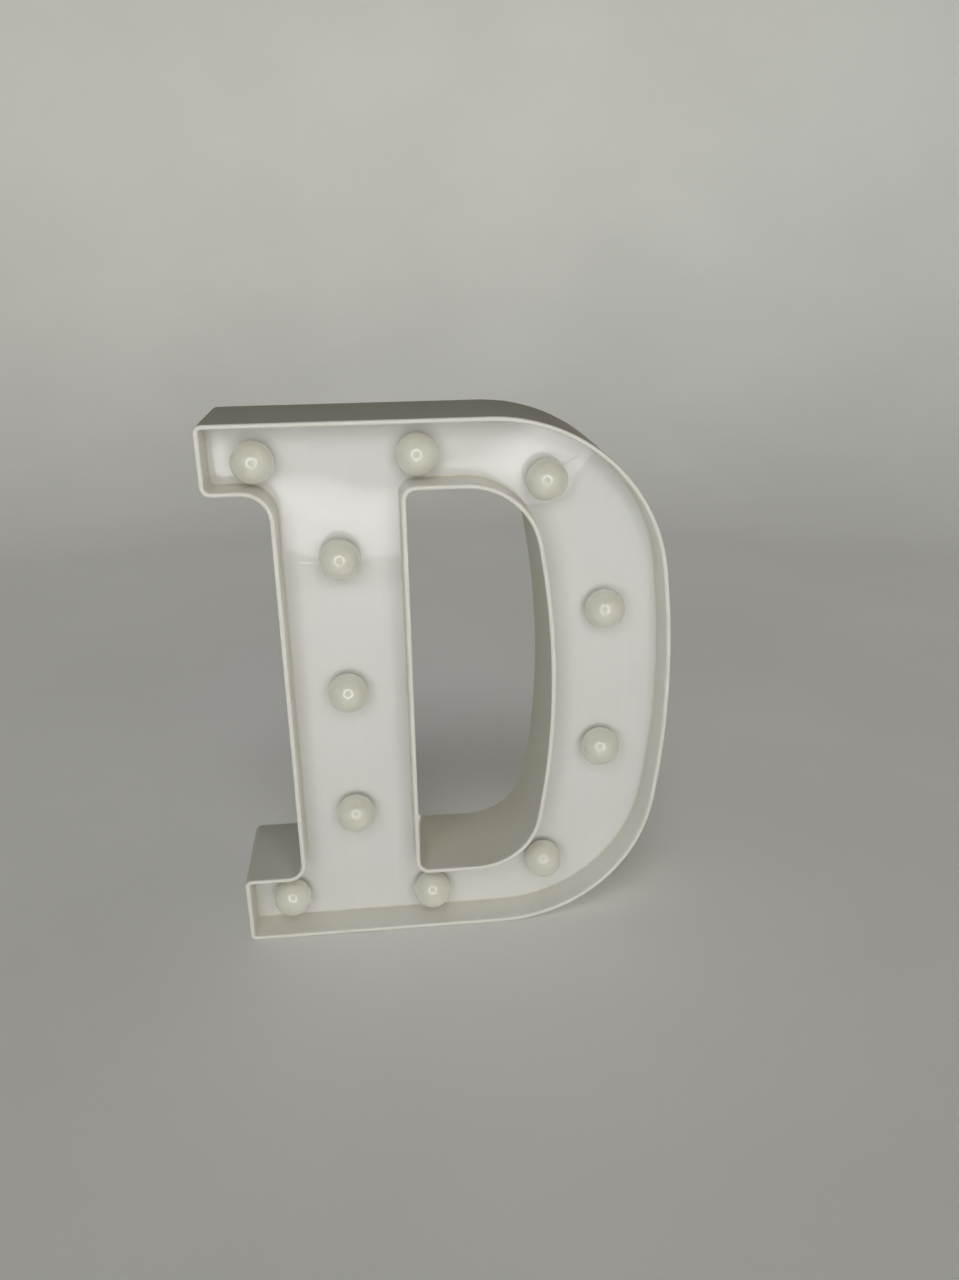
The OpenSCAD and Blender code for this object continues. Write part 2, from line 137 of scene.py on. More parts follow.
def joined(parts, gap=3.5):
    """Arcs in a ring, with points along the straight runs between them."""
    ring = []
    for i, part in enumerate(parts):
        for p in part:
            if not ring or math.hypot(p[0] - ring[-1][0], p[1] - ring[-1][1]) > 1e-4:
                ring.append(p)
        a, b = ring[-1], parts[(i + 1) % len(parts)][0]
        n = math.ceil(math.hypot(b[0] - a[0], b[1] - a[1]) / gap)
        for k in range(1, n):
            t = k / n
            ring.append(tuple(a[j] + (b[j] - a[j]) * t for j in range(2)) + (a[2], a[3]))
    if math.hypot(ring[0][0] - ring[-1][0], ring[0][1] - ring[-1][1]) < 1e-4:
        ring.pop()
    return ring


def bowl(width, radius, top, bottom, r_top, r_bottom, middle):
    """Centres and angles of a bowl of three arcs."""
    cx = width - radius
    xt = cx + math.sqrt((radius - r_top) ** 2 - (top - r_top - middle) ** 2)
    xb = cx + math.sqrt((radius - r_bottom) ** 2 - (middle - bottom - r_bottom) ** 2)
    at = math.degrees(math.atan2(top - r_top - middle, xt - cx))
    ab = math.degrees(math.atan2(bottom + r_bottom - middle, xb - cx))
    return cx, xt, xb, at, ab


OB = bowl(178.0, 360.0, 220.0, 0.0, 70.0, 66.0, 110.0)
OUTER = joined([
    arc(2.6, 2.6, 2.6, 180, 270, 1, 0.4),
    arc(OB[2], 66.0, 66.0, -90, OB[4], 1),
    arc(OB[0], 110.0, 360.0, OB[4], OB[3], 1, 2.0),
    arc(OB[1], 150.0, 70.0, OB[3], 90, 1),
    arc(3.0, 217.0, 3.0, 90, 180, 1, 0.4),
    arc(4.0, 197.8, 4.0, 180, 270, 1, 0.5),
    arc(14.0, 183.8, 10.0, 90, 0, -1, 0.7),
    arc(18.0, 36.0, 6.0, 0, -90, -1, 0.6),
    arc(3.0, 27.0, 3.0, 90, 180, 1, 0.4),
])
CB = bowl(129.5, 330.0, 193.8, 29.5, 28.0, 26.0, 109.65)
COUNTER = joined([
    arc(78.0, 33.5, 4.0, 180, 270, -1, 0.5),
    arc(CB[2], 55.5, 26.0, -90, CB[4], -1, 1.0),
    arc(CB[0], 109.65, 330.0, CB[4], CB[3], -1, 2.0),
    arc(CB[1], 165.8, 28.0, CB[3], 90, -1, 1.0),
    arc(78.0, 189.8, 4.0, 90, 180, -1, 0.5),
])


def inset(ring, d):
    return [(p[0] - d * p[2], p[1] - d * p[3]) for p in ring]


def crossings(ring, x, y):
    n, inside = len(ring), False
    for i in range(n):
        ax, ay = ring[i]
        bx, by = ring[i - 1]
        if (ay > y) != (by > y) and x < (bx - ax) * (y - ay) / (by - ay) + ax:
            inside = not inside
    return inside


def clearance(ring, x, y):
    return min(math.hypot(px - x, py - y) for px, py in ring)


# ---------------------------------------------------------------- mesh building
class Builder:
    """Faces with their own corner normals; winding follows the normals."""

    def __init__(self):
        self.v, self.f, self.n, self.m = [], [], [], []

    def vert(self, p):
        self.v.append(Vector(p))
        return len(self.v) - 1

    def face(self, ids, normals, mat=0):
        pts = [self.v[i] for i in ids]
        g = Vector((0, 0, 0))
        for i in range(len(pts)):
            g += (pts[i] - pts[0]).cross(pts[(i + 1) % len(pts)] - pts[0])
        if g.dot(sum(normals, Vector((0, 0, 0)))) < 0:
            ids, normals = list(ids)[::-1], list(normals)[::-1]
        self.f.append(list(ids))
        self.n.append([Vector(n).normalized() for n in normals])
        self.m.append(mat)

    def strip(self, a, b, na, nb, mat=0):
        """Quads between two closed rings of vertices."""
        k = len(a)
        for i in range(k):
            j = (i + 1) % k
            self.face([a[i], a[j], b[j], b[i]], [na[i], na[j], nb[j], nb[i]], mat)

    def object(self, name, mats):
        """Welds points that meet and leaves out faces that shrink to a line; keep lists the points that stay."""
        first, ids, self.keep = {}, [], []
        for i, p in enumerate(self.v):
            key = tuple(round(c * 1e7) for c in p)
            if key not in first:
                first[key] = len(self.keep)
                self.keep.append(i)
            ids.append(first[key])
        faces, normals, slots = [], [], []
        for f, n, m in zip(self.f, self.n, self.m):
            pick = [k for k in range(len(f)) if ids[f[k]] != ids[f[k - 1]]]
            if len(pick) > 2:
                faces.append([ids[f[k]] for k in pick])
                normals += [tuple(n[k]) for k in pick]
                slots.append(m)
        me = bpy.data.meshes.new(name)
        me.from_pydata([tuple(self.v[i]) for i in self.keep], [], faces)
        for m in mats:
            me.materials.append(m)
        me.polygons.foreach_set("material_index", slots)
        me.polygons.foreach_set("use_smooth", [True] * len(faces))
        me.update()
        me.normals_split_custom_set(normals)
        ob = bpy.data.objects.new(name, me)
        scene.collection.objects.link(ob)
        return ob


def lathe(b, centre, axis, profile, steps, mat=0, start=None):
    """Turns profile [(r, h, nr, nh) ...] round axis at centre (metres); r 0 makes a pole."""
    axis = Vector(axis).normalized()
    side = Vector((0, 0, 1)) if abs(axis.z) < 0.9 else Vector((1, 0, 0))
    x = axis.cross(side).normalized()
    y = axis.cross(x)
    rings = []
    for r, h, nr, nh in profile:
        if r < 1e-9:
            rings.append(([b.vert(centre + axis * h)], [axis * nh]))
            continue
        ids, ns = [], []
        for k in range(steps):
            a = 2 * math.pi * k / steps
            d = x * math.cos(a) + y * math.sin(a)
            ids.append(b.vert(centre + d * r + axis * h))
            ns.append(d * nr + axis * nh)
        rings.append((ids, ns))
    for (a, na), (c, nc) in zip(rings, rings[1:]):
        if a is None or c is None:
            continue
        if len(a) == 1 and len(c) == 1:
            continue
        if len(a) == 1 or len(c) == 1:
            pole, np_ = (a[0], na[0]) if len(a) == 1 else (c[0], nc[0])
            ring, nr_ = (c, nc) if len(a) == 1 else (a, na)
            for i in range(steps):
                j = (i + 1) % steps
                b.face([pole, ring[i], ring[j]], [np_, nr_[i], nr_[j]], mat)
        else:
            b.strip(a, c, na, nc, mat)
    return rings


# ---------------------------------------------------------------- materials
class Shader:
    def __init__(self, name):
        self.mat = bpy.data.materials.new(name)
        self.mat.use_nodes = True
        self.t = self.mat.node_tree
        self.bsdf = self.t.nodes["Principled BSDF"]
        self.co = self.t.nodes.new("ShaderNodeTexCoord").outputs["Object"]

    def new(self, kind, **props):
        n = self.t.nodes.new(kind)
        for k, v in props.items():
            setattr(n, k, v)
        return n

    def put(self, value, socket):
        if hasattr(value, "is_output"):
            self.t.links.new(value, socket)
        else:
            socket.default_value = value

    def set(self, **values):
        for k, v in values.items():
            self.put(v, self.bsdf.inputs[k.replace("_", " ")])

    def stretch(self, x, y, z):
        n = self.new("ShaderNodeVectorMath", operation="MULTIPLY")
        self.put(self.co, n.inputs[0])
        n.inputs[1].default_value = (x, y, z)
        return n.outputs[0]

    def noise(self, scale, detail=3.0, rough=0.5, distortion=0.0, at=None):
        n = self.new("ShaderNodeTexNoise")
        self.put(at or self.co, n.inputs["Vector"])
        n.inputs["Scale"].default_value = scale
        n.inputs["Detail"].default_value = detail
        n.inputs["Roughness"].default_value = rough
        n.inputs["Distortion"].default_value = distortion
        return n.outputs["Fac"]

    def cells(self, scale, at=None, feature="F1"):
        n = self.new("ShaderNodeTexVoronoi", feature=feature)
        self.put(at or self.co, n.inputs["Vector"])
        n.inputs["Scale"].default_value = scale
        return n.outputs["Distance"]

    def range(self, value, lo, hi, out_lo=0.0, out_hi=1.0, smooth=False):
        n = self.new("ShaderNodeMapRange")
        if smooth:
            n.interpolation_type = "SMOOTHSTEP"
        self.put(value, n.inputs["Value"])
        n.inputs["From Min"].default_value = lo
        n.inputs["From Max"].default_value = hi
        n.inputs["To Min"].default_value = out_lo
        n.inputs["To Max"].default_value = out_hi
        return n.outputs["Result"]

    def maths(self, op, a, b=0.0):
        n = self.new("ShaderNodeMath", operation=op)
        self.put(a, n.inputs[0])
        self.put(b, n.inputs[1])
        return n.outputs[0]

    def mix(self, fac, a, b, blend="MIX"):
        n = self.new("ShaderNodeMix", data_type="RGBA", blend_type=blend)
        self.put(fac, n.inputs[0])
        for v, s in ((a, n.inputs[6]), (b, n.inputs[7])):
            self.put(v if hasattr(v, "is_output") else tuple(v) + (1.0,), s)
        return n.outputs[2]

    def attribute(self, name):
        return self.new("ShaderNodeAttribute", attribute_name=name).outputs["Fac"]

    def axis(self, k):
        n = self.new("ShaderNodeSeparateXYZ")
        self.put(self.co, n.inputs[0])
        return n.outputs[k]

    def bump(self, height, strength, distance, after=None):
        n = self.new("ShaderNodeBump")
        self.put(height, n.inputs["Height"])
        n.inputs["Strength"].default_value = strength
        n.inputs["Distance"].default_value = distance
        if after is not None:
            self.put(after, n.inputs["Normal"])
        return n.outputs["Normal"]


def make_wall():
    """Moulded white plastic of the walls: faint mottling, dust and painted shade in the nooks, outer walls painted
    darker as shade, a rubbed rim, fine orange peel.
    """
    s = Shader("shell_white_wall")
    base = s.mix(s.range(s.noise(24, 4), 0.35, 0.65), (0.775, 0.755, 0.685), (0.81, 0.793, 0.73))
    smear = s.range(s.noise(38, 5, 0.6, 0.4, s.stretch(1.0, 0.35, 1.0)), 0.55, 0.75)
    base = s.mix(s.maths("MULTIPLY", smear, 0.25), base, (0.66, 0.635, 0.55))
    # painted shade: the outer walls and top, which get less light, are coloured darker than the inner walls of the same
    # plastic
    base = s.mix(s.maths("MULTIPLY", s.attribute("outer"), 0.65), base, (0.665, 0.645, 0.57))
    # dust with painted shade: the inner walls are darkened towards the corners where they meet the face plate
    nook_dust_and_shade = s.maths("MULTIPLY", s.attribute("nook_dust_and_shade"), s.range(s.noise(210, 4), 0.3, 0.7, 0.25, 0.75))
    base = s.mix(s.maths("MULTIPLY", nook_dust_and_shade, 0.45), base, (0.60, 0.58, 0.49))
    base = s.mix(s.maths("MULTIPLY", s.attribute("lip"), 0.5), base, (0.85, 0.84, 0.80))
    speck = s.range(s.cells(330), 0.10, 0.05)
    base = s.mix(s.maths("MULTIPLY", speck, 0.16), base, (0.45, 0.42, 0.34))
    rough = s.maths("ADD", s.range(s.noise(55, 4), 0.3, 0.7, 0.30, 0.42), s.maths("MULTIPLY", s.attribute("lip"), -0.08))
    rough = s.maths("ADD", rough, s.maths("MULTIPLY", s.attribute("outer"), 0.14))
    normal = s.bump(s.noise(620, 3), 0.10, 0.0002)
    normal = s.bump(s.noise(30, 2), 0.12, 0.002, normal)
    s.set(Base_Color=base, Roughness=rough, Normal=normal)
    return s.mat


def make_plate():
    """Glossy face plate: flow marks down the stem, hairline rubs, a few specks, painted shade round where the caps sit.
    """
    s = Shader("shell_white_plate")
    base = s.mix(s.range(s.noise(16, 3), 0.35, 0.65), (0.775, 0.775, 0.765), (0.80, 0.80, 0.795))
    flow = s.noise(90, 3, 0.55, 0.0, s.stretch(3.0, 1.0, 0.10))
    base = s.mix(s.range(flow, 0.50, 0.72, 0.0, 0.30), base, (0.83, 0.825, 0.80))
    speck = s.range(s.cells(240), 0.07, 0.03)
    base = s.mix(s.maths("MULTIPLY", speck, 0.15), base, (0.48, 0.46, 0.40))
    # painted shade: the plate is darkened in a ring round each cap, for the shadow in the gap under the ball
    base = s.mix(s.maths("MULTIPLY", s.attribute("seat_shade"), 0.55), base, (0.40, 0.385, 0.33))
    rubs = s.range(s.noise(140, 5, 0.7, 0.0, s.stretch(6.0, 1.0, 0.12)), 0.50, 0.74, 0.0, 0.035)
    rough = s.maths("ADD", s.range(s.noise(40, 4), 0.3, 0.7, 0.015, 0.03), rubs)
    normal = s.bump(s.noise(700, 2), 0.01, 0.0001)
    s.set(Base_Color=base, Roughness=rough, Normal=normal)
    s.bsdf.inputs["IOR"].default_value = 1.47
    return s.mat


def make_bulb():
    """Milky ivory cap: light goes into it, with a glossy moulded skin; its outline as seen is painted lighter."""
    s = Shader("bulb_ivory_cap")
    base = s.mix(s.range(s.noise(120, 4), 0.35, 0.65), (0.725, 0.715, 0.615), (0.77, 0.76, 0.672))
    cloud = s.range(s.noise(420, 3), 0.45, 0.7, 0.0, 0.25)
    base = s.mix(cloud, base, (0.79, 0.78, 0.70))
    # painted light: the colour turns paler towards the cap's outline as seen, for light showing through its milky edge
    limb_painted_light = s.new("ShaderNodeLayerWeight")
    limb_painted_light.inputs["Blend"].default_value = 0.4
    base = s.mix(s.range(limb_painted_light.outputs["Facing"], 0.35, 0.95, 0.0, 0.8), base, (0.93, 0.925, 0.855))
    rough = s.range(s.noise(300, 4), 0.3, 0.7, 0.02, 0.05)
    normal = s.bump(s.noise(520, 2), 0.02, 0.0002)
    s.set(Base_Color=base, Roughness=rough, Normal=normal, Subsurface_Weight=0.35, Subsurface_Scale=0.0025)
    s.bsdf.inputs["Subsurface Radius"].default_value = (1.0, 0.92, 0.70)
    s.bsdf.inputs["IOR"].default_value = 1.8
    return s.mat


def make_cover():
    """Textured back moulding: spark-eroded grain, scuffs."""
    s = Shader("cover_white_grain")
    base = s.mix(s.range(s.noise(22, 4), 0.35, 0.65), (0.72, 0.70, 0.635), (0.765, 0.75, 0.69))
    scuff = s.range(s.noise(70, 6, 0.7, 0.8, s.stretch(0.5, 1.0, 1.8)), 0.60, 0.74)
    base = s.mix(s.maths("MULTIPLY", scuff, 0.30), base, (0.56, 0.535, 0.46))
    grain = s.noise(1500, 3, 0.6)
    base = s.mix(s.range(grain, 0.35, 0.65, 0.0, 0.18), base, (0.62, 0.60, 0.54))
    rough = s.range(s.noise(130, 4), 0.3, 0.7, 0.48, 0.62)
    normal = s.bump(grain, 0.35, 0.00018)
    s.set(Base_Color=base, Roughness=rough, Normal=normal)
    return s.mat


def make_metal(name, light, dark, rough=(0.22, 0.38), tarnish=(0.30, 0.27, 0.22), brush=(1.0, 1.0, 12.0)):
    s = Shader(name)
    base = s.mix(s.range(s.noise(260, 4), 0.35, 0.65), dark, light)
    spots = s.range(s.noise(700, 4, 0.6), 0.60, 0.75, 0.0, 0.45)
    base = s.mix(spots, base, tarnish)
    lines = s.noise(1400, 3, 0.6, 0.0, s.stretch(*brush))
    s.set(Base_Color=base, Metallic=1.0, Roughness=s.range(lines, 0.3, 0.7, *rough), Normal=s.bump(lines, 0.12, 0.00005))
    return s.mat


def make_plastic(name, a, b, rough=(0.35, 0.5), grain=900, strength=0.15):
    s = Shader(name)
    base = s.mix(s.range(s.noise(180, 4), 0.35, 0.65), a, b)
    rub = s.range(s.noise(420, 5, 0.65), 0.58, 0.75, 0.0, 0.35)
    base = s.mix(rub, base, tuple(min(1.0, c * 1.5 + 0.02) for c in b))
    s.set(Base_Color=base, Roughness=s.range(s.noise(320, 4), 0.3, 0.7, *rough), Normal=s.bump(s.noise(grain, 3), strength, 0.0001))
    return s.mat


def make_epoxy():
    s = Shader("led_epoxy_clear")
    base = s.mix(s.range(s.noise(300, 3), 0.35, 0.65), (0.86, 0.88, 0.90), (0.92, 0.93, 0.93))
    s.set(Base_Color=base, Roughness=s.range(s.noise(500, 3), 0.3, 0.7, 0.04, 0.10), Transmission_Weight=0.85)
    s.bsdf.inputs["IOR"].default_value = 1.53
    return s.mat


def make_resistor():
    """Tan film resistor with value bands round its body."""
    s = Shader("resistor_tan_bands")
    z = s.axis(2)
    base = s.mix(s.range(s.noise(400, 3), 0.35, 0.65), (0.52, 0.40, 0.23), (0.60, 0.47, 0.29))
    for at, col in ((0.1453, (0.22, 0.10, 0.04)), (0.1472, (0.02, 0.02, 0.02)), (0.1485, (0.22, 0.10, 0.04)), (0.1507, (0.50, 0.38, 0.10))):
        d = s.maths("ABSOLUTE", s.maths("SUBTRACT", z, at))
        base = s.mix(s.range(d, 0.0004, 0.0003), base, col)
    lead = s.range(s.maths("ABSOLUTE", s.maths("SUBTRACT", z, 0.1480)), 0.00352, 0.00356)
    base = s.mix(lead, base, (0.62, 0.62, 0.60))
    s.set(Base_Color=base, Metallic=lead, Roughness=s.range(s.noise(600, 3), 0.3, 0.7, 0.35, 0.5))
    return s.mat


def make_sleeve(name, body, band, low, high, flip):
    """Plain printed shrink sleeve of a cell: dark body, one pale band at the plus end, fine scratches along it."""
    s = Shader(name)
    z = s.axis(2)
    base = s.mix(s.range(s.noise(90, 4), 0.35, 0.65), body, tuple(c * 1.25 for c in body))
    edge = high - 0.0125 if not flip else low + 0.0125
    step = s.range(z, edge - 0.00012, edge + 0.00012) if not flip else s.range(z, edge + 0.00012, edge - 0.00012)
    base = s.mix(step, base, band)
    line = s.range(s.maths("ABSOLUTE", s.maths("SUBTRACT", z, edge + (-0.0012 if not flip else 0.0012))), 0.0004, 0.0003)
    base = s.mix(line, base, band)
    scratch = s.range(s.noise(500, 4, 0.6, 0.0, s.stretch(4.0, 4.0, 0.15)), 0.62, 0.72, 0.0, 0.35)
    base = s.mix(scratch, base, tuple(min(1.0, c * 1.8 + 0.03) for c in body))
    s.set(Base_Color=base, Roughness=s.range(s.noise(200, 4), 0.3, 0.7, 0.24, 0.36), Normal=s.bump(s.noise(160, 3), 0.10, 0.0003))
    s.bsdf.inputs["Coat Weight"].default_value = 0.3
    return s.mat


M_WALL, M_PLATE, M_BULB, M_COVER = make_wall(), make_plate(), make_bulb(), make_cover()
M_STEEL = make_metal("steel_zinc", (0.66, 0.66, 0.67), (0.52, 0.52, 0.54))
M_NICKEL = make_metal("contact_nickel_plate", (0.72, 0.71, 0.67), (0.60, 0.59, 0.55), (0.16, 0.30))
M_BRASS = make_metal("terminal_brass_tinned", (0.78, 0.64, 0.32), (0.66, 0.52, 0.24), (0.2, 0.35))
M_BLACK = make_plastic("switch_black_satin", (0.018, 0.018, 0.02), (0.03, 0.03, 0.032))
M_PHENOLIC = make_plastic("phenolic_brown", (0.22, 0.11, 0.04), (0.32, 0.17, 0.07), (0.45, 0.6))
M_RED = make_plastic("wire_red_satin", (0.42, 0.02, 0.02), (0.52, 0.035, 0.03), (0.3, 0.42))
M_DARK = make_plastic("wire_black_satin", (0.02, 0.02, 0.022), (0.035, 0.035, 0.037), (0.3, 0.42))
M_EPOXY, M_RESISTOR = make_epoxy(), make_resistor()


def finish_piece(ob, body, slot, *replaced):
    if replaced:
        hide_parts(*replaced)
    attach(ob, body)
    return ob


# ---------------------------------------------------------------- the letter moulding
FILLET = 0.8


def wall_profile():
    """(inset, depth, normal out of the outline, normal along depth, lip, nook_dust_and_shade: dust with painted shade)
    from the plate's front round the rim to its back.
    """
    out = []
    t, f, q = WALL, FILLET, 7
    for i in range(q):
        a = math.pi / 2 * i / (q - 1)
        out.append((t + f - f * math.sin(a), PLATE_F - f + f * math.cos(a), -math.sin(a), -math.cos(a), 0.0, 1.0))
    out.append((t, 12.4, -1, 0, 0.0, 0.55))
    out.append((t, 9.0, -1, 0, 0.0, 0.15))
    out.append((t, 3.0, -1, 0, 0.05, 0.0))
    q = 13
    for i in range(q):
        a = math.pi * i / (q - 1)
        out.append((t / 2 + t / 2 * math.cos(a), t / 2 - t / 2 * math.sin(a), -math.cos(a), -math.sin(a), 0.35 + 0.65 * math.sin(a), 0.0))
    out.append((0, 3.0, 1, 0, 0.05, 0.0))
    for w in (10, 18, 26, 34, 40):
        out.append((0, w, 1, 0, 0.0, 0.0))
    r, q = 0.5, 5
    for i in range(q):
        a = math.pi / 2 * i / (q - 1)
        out.append((r - r * math.cos(a), LETTER_D - r + r * math.sin(a), math.cos(a), math.sin(a), 0.3, 0.0))
    r = 0.3
    for i in range(q):
        a = math.pi / 2 * i / (q - 1)
        out.append((t - r + r * math.sin(a), LETTER_D - r + r * math.cos(a), -math.sin(a), math.cos(a), 0.0, 0.3))
    out.append((t, 43.0, -1, 0, 0.0, 0.6))
    out.append((t, 30.0, -1, 0, 0.0, 0.3))
    q = 5
    for i in range(q):
        a = math.pi / 2 * i / (q - 1)
        out.append((t + f - f * math.cos(a), PLATE_B + f - f * math.sin(a), -math.cos(a), math.sin(a), 0.0, 0.8))
    return out


# fine grooves that the melt left in the face plate near the holes: ends (u, v), half width and depth
GROOVES = [(33.0, 163.9, 40.4, 163.6, 0.60, 0.03), (135.0, 198.6, 141.0, 201.4, 0.55, 0.03),
           (121.2, 187.6, 122.6, 186.2, 0.60, 0.03), (127.2, 183.7, 127.9, 182.6, 0.60, 0.03)]


def groove_frame(g):
    long = math.hypot(g[2] - g[0], g[3] - g[1])
    return long, (g[2] - g[0]) / long, (g[3] - g[1]) / long


def relief(u, v):
    """How far the moulded face plate stands out at a point, in millimetres: a shallow dish round each bulb, slow waves near the
    top, fine grooves."""
    h = 0.0
    for g in GROOVES:
        if abs(u - g[0]) < 10.0 and abs(v - g[1]) < 10.0:
            long, du, dv = groove_frame(g)
            t, d = (u - g[0]) * du + (v - g[1]) * dv, abs((v - g[1]) * du - (u - g[0]) * dv)
            if d < g[4]:
                ends = min(1.0, max(0.0, (t + 0.6) / 1.2)) * min(1.0, max(0.0, (long + 0.6 - t) / 1.2))
                h -= g[5] * ends * (0.5 + 0.5 * math.cos(math.pi * d / g[4]))
    for bu, bv in BULBS.values():
        r = math.hypot(u - bu, v - bv)
        if r < 12.0:
            t = max(0.0, (r - 6.0) / 6.0)
            h -= 0.045 * (1.0 - t * t * (3.0 - 2.0 * t))
    g = 12.0 * math.tanh((v - 200.0) / 12.0)
    h += 0.0065 * math.cos(2 * math.pi * (u - 45.0) / 44.0) * g * math.exp(-(((v - 200.0) / 26.0) ** 2))
    h += 0.035 * math.sin(u / 23.0 + 0.6) * math.sin(v / 31.0 + 1.1)
    return h


def relief_normal(u, v):
    e = 0.05
    du = (relief(u + e, v) - relief(u - e, v)) / (2 * e)
    dv = (relief(u, v + e) - relief(u, v - e)) / (2 * e)
    return Vector((-du, -1.0, -dv)).normalized()


def build_shell():
    b = Builder()
    lip, nook_dust_and_shade, outer = [], [], []
    profile = wall_profile()
    fronts, backs = [], []
    for ring in (OUTER, COUNTER):
        rows = []
        for k, (d, w, no, nw, lp, nk) in enumerate(profile):
            ids, ns = [], []
            fade = max(0.0, 1.0 - k / 6.0)
            for x, z, nx, nz in ring:
                u, v = x - d * nx, z - d * nz
                ids.append(b.vert(P(u, w - (relief(u, v) * fade if fade else 0.0), v)))
                ns.append(relief_normal(u, v) if k == 0 else Vector((no * nx, nw, no * nz)))
                lip.append(lp)
                nook_dust_and_shade.append(nk)
                outer.append(1.0 if no > 0.99 else 0.0)
            rows.append((ids, ns))
        for (a, na), (c, nc) in zip(rows, rows[1:]):
            b.strip(a, c, na, nc, 0)
        fronts.append(rows[0][0])
        backs.append(rows[-1][0])
    hole_rings = {0: [], 1: []}
    steps = 40
    for u, v in BULBS.values():
        pair = []
        for k, w in ((0, PLATE_F), (1, PLATE_B)):
            ids = []
            for i in range(steps):
                a = 2 * math.pi * i / steps
                x, y = u + 4.2 * math.cos(a), v + 4.2 * math.sin(a)
                ids.append(b.vert(P(x, w - (relief(x, y) if k == 0 else 0.0), y)))
                lip.append(0.0)
                nook_dust_and_shade.append(0.0)
            hole_rings[k].append(ids)
            pair.append(ids)
        ns = [Vector((-math.cos(2 * math.pi * i / steps), 0, -math.sin(2 * math.pi * i / steps))) for i in range(steps)]
        b.strip(pair[0], pair[1], ns, ns, 1)
    # face plate, front and back: triangles between the rings, on a grid of inner points
    for k, w, edge_rings, side in ((0, PLATE_F, fronts, -1), (1, PLATE_B, backs, 1)):
        loops, ids = [], []
        for r in edge_rings + hole_rings[k]:
            loops.append([((b.v[i].x * 1000 + LETTER_W / 2), b.v[i].z * 1000) for i in r])
            ids.append(r)
        pts, edges, back = [], [], []
        for lp, r in zip(loops, ids):
            o = len(pts)
            for j, p in enumerate(lp):
                pts.append(Vector(p))
                back.append(r[j])
                edges.append((o + j, o + (j + 1) % len(lp)))
        fixed = len(pts)

        def inside(x, y):
            return sum(crossings(lp, x, y) for lp in loops) % 2 == 1

        if k == 0:
            for bu, bv in BULBS.values():
                for r, n in ((5.6, 36), (7.0, 40), (8.4, 44), (9.8, 48), (11.0, 52), (12.2, 56)):
                    for i in range(n):
                        x, y = bu + r * math.cos(2 * math.pi * i / n), bv + r * math.sin(2 * math.pi * i / n)
                        if inside(x, y) and min(clearance(lp, x, y) for lp in loops) > 0.7:
                            pts.append(Vector((x, y)))
            for g in GROOVES:
                long, du, dv = groove_frame(g)
                n = math.ceil((long + 1.2) / 0.5)
                for i in range(n + 1):
                    for q in (-1.0, -0.75, -0.5, -0.25, 0.0, 0.25, 0.5, 0.75, 1.0):
                        t = (long + 1.2) * i / n - 0.6
                        x, y = g[0] + t * du - q * g[4] * dv, g[1] + t * dv + q * g[4] * du
                        if inside(x, y) and min(clearance(lp, x, y) for lp in loops) > 0.7:
                            pts.append(Vector((x, y)))
            grid = 3.2
            for i in range(int(LETTER_W / grid) + 1):
                for j in range(int(LETTER_H / (grid * 0.866)) + 1):
                    x, y = (i + 0.5 * (j % 2)) * grid, j * grid * 0.866
                    near = min(math.hypot(x - bu, y - bv) for bu, bv in BULBS.values())
                    if near > 14.0 and inside(x, y) and min(clearance(lp, x, y) for lp in loops) > 1.3:
                        pts.append(Vector((x, y)))
        vs, _, tris, origin, _, _ = delaunay_2d_cdt(pts, edges, [], 1, 1e-5)
        where = []
        for p, o in zip(vs, origin):
            old = [i for i in o if i < fixed]
            if old:
                where.append(back[old[0]])
            else:
                where.append(b.vert(P(p.x, w - (relief(p.x, p.y) if k == 0 else 0.0), p.y)))
                lip.append(0.0)
                nook_dust_and_shade.append(0.0)
        ns = [relief_normal(p.x, p.y) if k == 0 else Vector((0, side, 0)) for p in vs]
        for tri in tris:
            c = sum((Vector(vs[i]) for i in tri), Vector((0, 0))) / len(tri)
            if inside(c.x, c.y):
                b.face([where[i] for i in tri], [ns[i] for i in tri], 1 if k == 0 else 0)
    # screw posts behind the plate, with pilot holes
    for u, v in POSTS:
        at = P(u, 0, v)
        at.y = -LETTER_D / 2 * 0.001
        before = len(b.v)
        mm = 0.001
        for run in (
            [(0, 16.9 * mm, 0, -1), (3 * mm, 16.9 * mm, 0, -1)],
            [(3 * mm, 16.9 * mm, 1, 0), (3 * mm, 42.7 * mm, 1, 0), (2.9 * mm, 42.9 * mm, 0.7, 0.7), (2.7 * mm, 43 * mm, 0, 1), (1.4 * mm, 43 * mm, 0, 1)],
            [(1.4 * mm, 43 * mm, -0.7, 0.7), (1.15 * mm, 42.7 * mm, -1, 0), (1.15 * mm, 32 * mm, -1, 0)],
            [(1.15 * mm, 32 * mm, 0, 1), (0, 32 * mm, 0, 1)],
        ):
            lathe(b, at, (0, 1, 0), run, 28)
        lip += [0.0] * (len(b.v) - before)
        nook_dust_and_shade += [0.0] * (len(b.v) - before)
    for p in b.v:
        p.x = min(p.x, cad_high.x)
    outer += [0.0] * (len(b.v) - len(outer))
    # painted shade mask: 1 up to 6 mm from each cap's axis on the front of the plate, fading out by 8.2 mm
    seat_shade = []
    for p in b.v:
        near = min(math.hypot(p.x * 1000 + LETTER_W / 2 - bu, p.z * 1000 - bv) for bu, bv in BULBS.values())
        seat_shade.append(min(1.0, max(0.0, (8.2 - near) / 2.2)) if p.y * 1000 + LETTER_D / 2 < PLATE_F + 0.6 else 0.0)
    ob = b.object("letter_moulding", [M_WALL, M_PLATE])
    for name, data in (("lip", lip), ("nook_dust_and_shade", nook_dust_and_shade), ("outer", outer), ("seat_shade", seat_shade)):
        at = ob.data.attributes.new(name, "FLOAT", "POINT")
        at.data.foreach_set("value", [data[i] for i in b.keep])
    return ob


finish_piece(build_shell(), "letter", "shell_white", "letter_shell")


